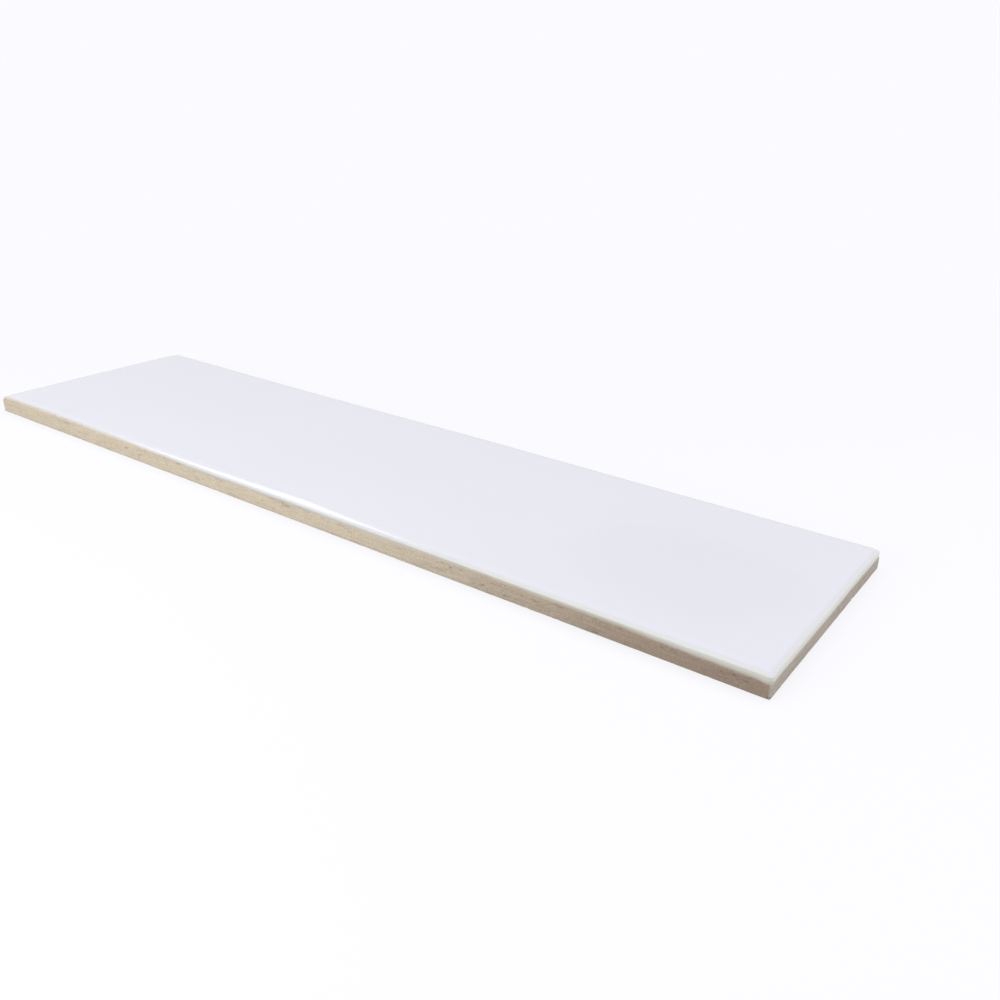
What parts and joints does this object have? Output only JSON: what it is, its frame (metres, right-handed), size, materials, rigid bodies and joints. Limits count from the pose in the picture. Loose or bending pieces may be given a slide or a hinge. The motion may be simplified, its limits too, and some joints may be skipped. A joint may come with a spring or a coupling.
{
  "type": "subway wall tile",
  "caption": "Long glazed ceramic wall tile with a softly rippled glossy face, rolled glaze edges and a keyed clay back.",
  "frame": {"origin": "middle of the back, on the floor that the tile lies on", "axes": "+X along the tile's length, +Y across its width, +Z out of the glazed face"},
  "size_m": [0.4, 0.1, 0.0083],
  "materials": {
    "glaze": "gloss",
    "biscuit": "matte"
  },
  "bodies": {
    "root": {"wall_tile": "glaze"}
  },
  "joints": []
}
